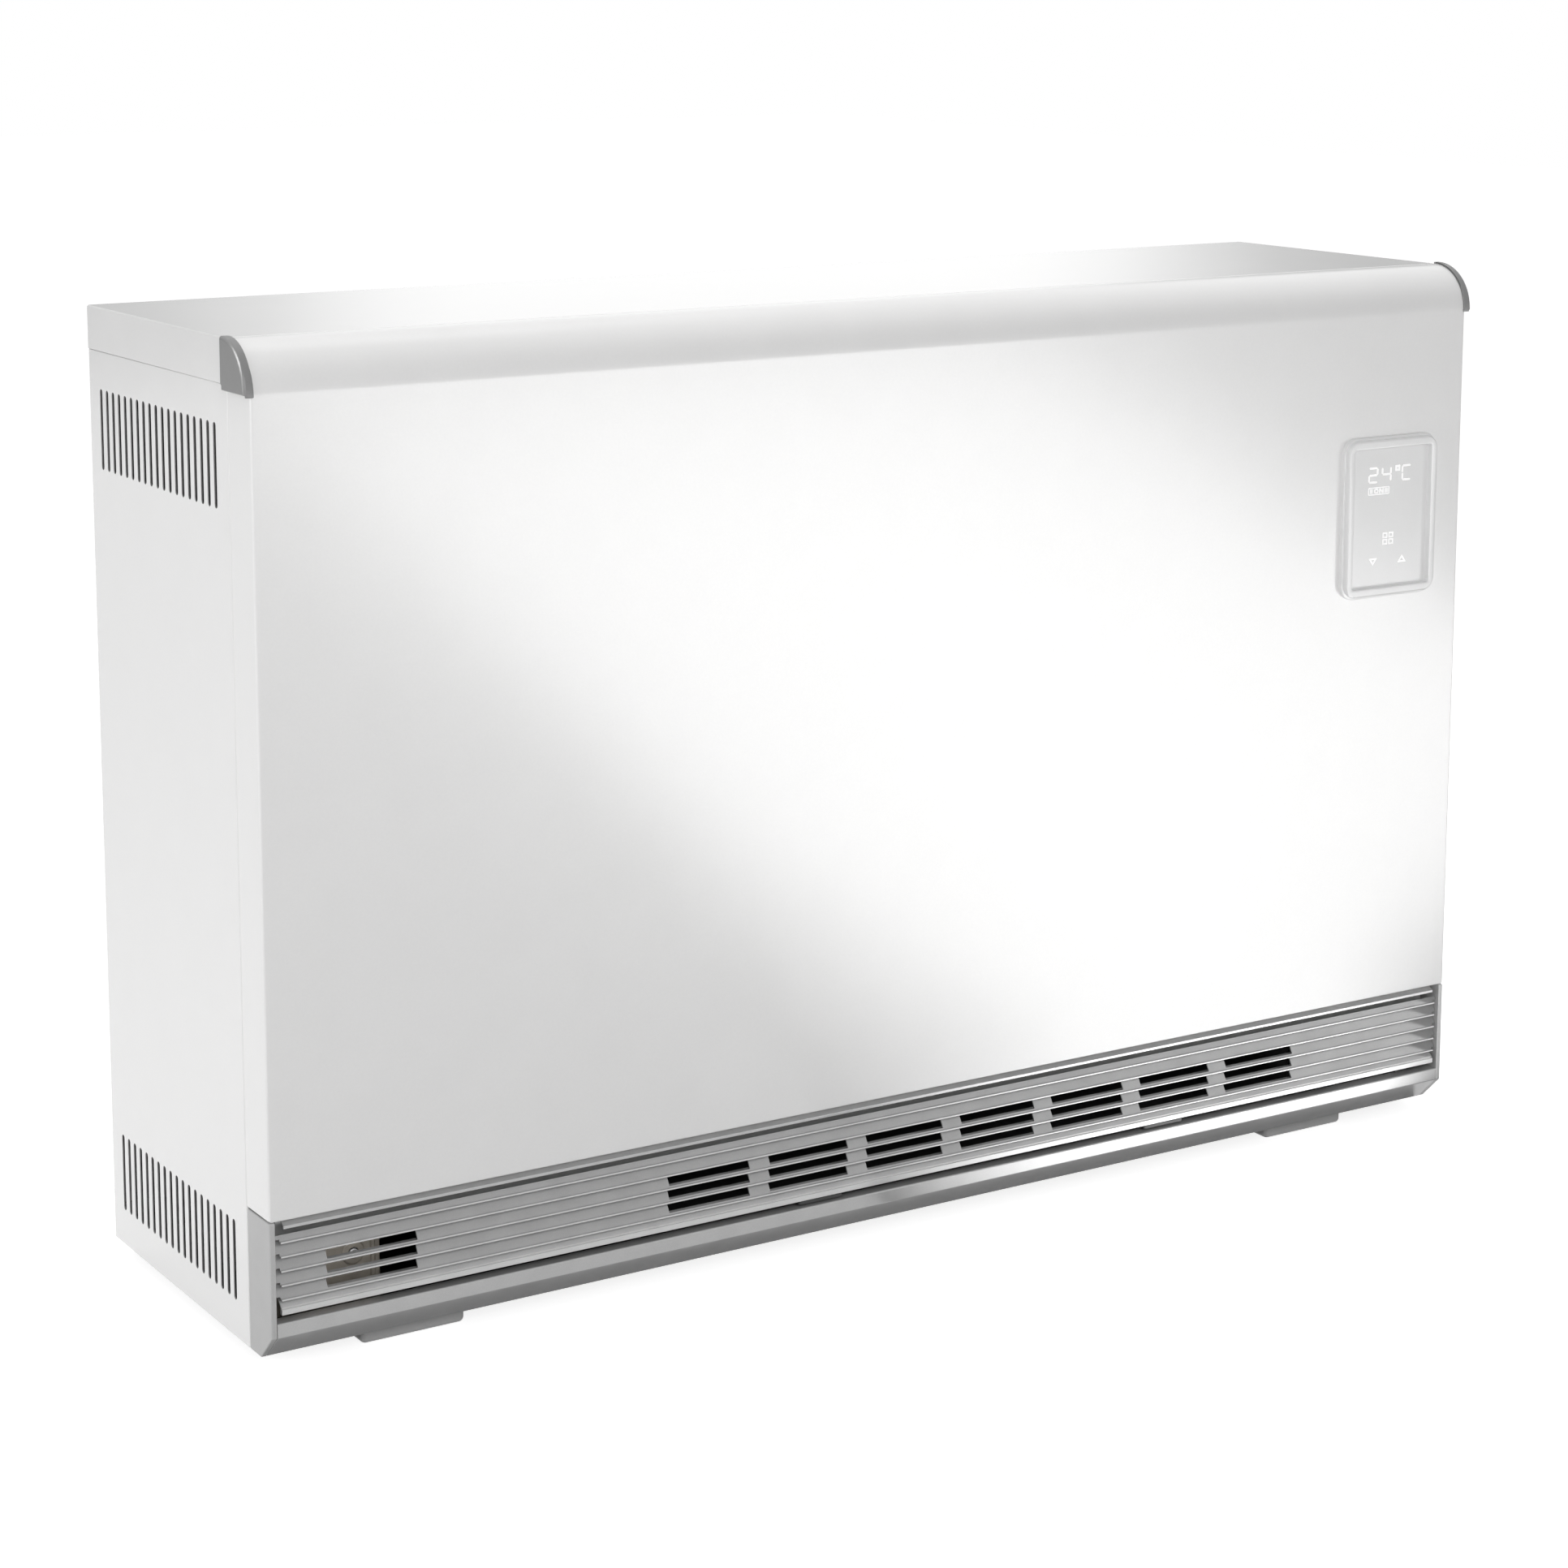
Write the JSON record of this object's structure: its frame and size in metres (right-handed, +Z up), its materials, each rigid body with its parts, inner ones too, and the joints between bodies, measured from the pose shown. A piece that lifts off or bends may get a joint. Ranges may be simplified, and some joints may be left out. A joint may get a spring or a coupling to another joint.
{
  "type": "storage heater",
  "caption": "Floor-standing fan-assisted storage heater: brick core in a white sheet casing with a curved front top, low outlet grille and front display.",
  "frame": {"origin": "on the floor under the middle of the heater", "axes": "+Z up, the front faces -Y, the display is at the +X end"},
  "size_m": [0.9926, 0.274, 0.6632],
  "materials": {
    "white_casing": "gloss white powder coat",
    "grey_plastic": "satin moulded plastic",
    "outlet_grey": "satin silver-grey paint",
    "foot_grey": "matt grey paint",
    "display_white": "gloss white plastic",
    "display_screen": "smooth light grey touch panel",
    "circuit_board": "green lacquered board",
    "zinc_sheet": "zinc-coated sheet",
    "insulation": "pressed microporous board, dull",
    "magnesite": "rough fired magnesite",
    "element_steel": "drawn steel",
    "seal_ceramic": "unglazed steatite",
    "fan_metal": "mill finish",
    "motor": "varnished laminations",
    "black_rubber": "dull black",
    "brass": "turned",
    "filter_black": "dull black",
    "filter_mesh": "woven nylon",
    "terminal_cream": "satin",
    "relay_blue": "satin",
    "black_plastic": "dull black",
    "button_red": "smooth red",
    "copper": "drawn copper",
    "wire_orange": "silicone sleeve",
    "screw_zinc": "bright zinc"
  },
  "bodies": {
    "heater": {"left_side_panel": "white_casing", "right_side_panel": "white_casing", "top_cover": "white_casing", "front_panel": "white_casing", "back_panel": "white_casing", "left_corner_cap": "grey_plastic", "right_corner_cap": "grey_plastic", "left_end_piece": "outlet_grey", "right_end_piece": "outlet_grey", "bottom_trim": "outlet_grey", "outlet_grille": "outlet_grey", "grille_top_rail": "outlet_grey", "base_tray": "zinc_sheet", "left_foot": "foot_grey", "right_foot": "foot_grey", "display_frame": "display_white", "display_window": "display_screen", "display_board": "circuit_board", "core_supports": "zinc_sheet", "core_floor": "zinc_sheet", "core_casing": "zinc_sheet", "base_insulation": "insulation", "face_insulation": "insulation", "end_insulation": "insulation", "top_insulation": "insulation", "storage_bricks": "magnesite", "heating_elements": "element_steel", "element_seals": "seal_ceramic", "left_fan_housing": "zinc_sheet", "left_fan_motor": "motor", "right_fan_housing": "zinc_sheet", "right_fan_motor": "motor", "fan_bearings": "black_rubber", "air_guide": "zinc_sheet", "flap_brackets": "zinc_sheet", "flap_actuator": "brass", "filter_rails": "zinc_sheet", "electrics_plate": "zinc_sheet", "terminal_block": "terminal_cream", "control_board": "circuit_board", "load_relays": "relay_blue", "thermal_limiter": "black_plastic", "charge_sensor": "element_steel", "element_links": "copper", "wiring_harness": "wire_orange", "sensor_bracket": "zinc_sheet", "room_sensor": "black_plastic", "casing_screws": "screw_zinc", "cable_grommet": "black_rubber"},
    "left_fan": {"left_impeller": "fan_metal", "left_fan_shaft": "element_steel"},
    "right_fan": {"right_impeller": "fan_metal", "right_fan_shaft": "element_steel"},
    "flap": {"bypass_flap": "zinc_sheet", "flap_rod": "element_steel"},
    "plunger": {"actuator_plunger": "element_steel"},
    "reset_button": {"limiter_reset_button": "button_red"},
    "lint_filter": {"lint_filter_frame": "filter_black", "lint_filter_mesh": "filter_mesh"}
  },
  "joints": [
    {"name": "left_fan_spin", "type": "hinge", "parent": "heater", "child": "left_fan", "pos_m": [-0.02795, 0.03, 0.088], "axis": [1, 0, 0], "continuous": true},
    {"name": "right_fan_spin", "type": "hinge", "parent": "heater", "child": "right_fan", "pos_m": [0.17205, 0.03, 0.088], "axis": [1, 0, 0], "continuous": true},
    {"name": "bypass_flap_tilt", "type": "hinge", "parent": "heater", "child": "flap", "pos_m": [0.07205, -0.042, 0.132], "axis": [1, 0, 0], "range_deg": [0, 30]},
    {"name": "plunger_slide", "type": "slide", "parent": "heater", "child": "plunger", "axis": [0, 1, 0], "range_m": [0, 0.0058]},
    {"name": "limiter_reset_press", "type": "slide", "parent": "heater", "child": "reset_button", "axis": [-1, 0, 0], "range_m": [0, 0.002], "stiffness_N_per_m": 800, "springref_m": -0.001},
    {"name": "lint_filter_slide", "type": "slide", "parent": "heater", "child": "lint_filter", "axis": [0, -1, 0], "range_m": [0, 0.15]}
  ],
  "couplings": [
    {"joint": "plunger_slide", "follows": "bypass_flap_tilt", "m_per_rad": 0.01107}
  ]
}
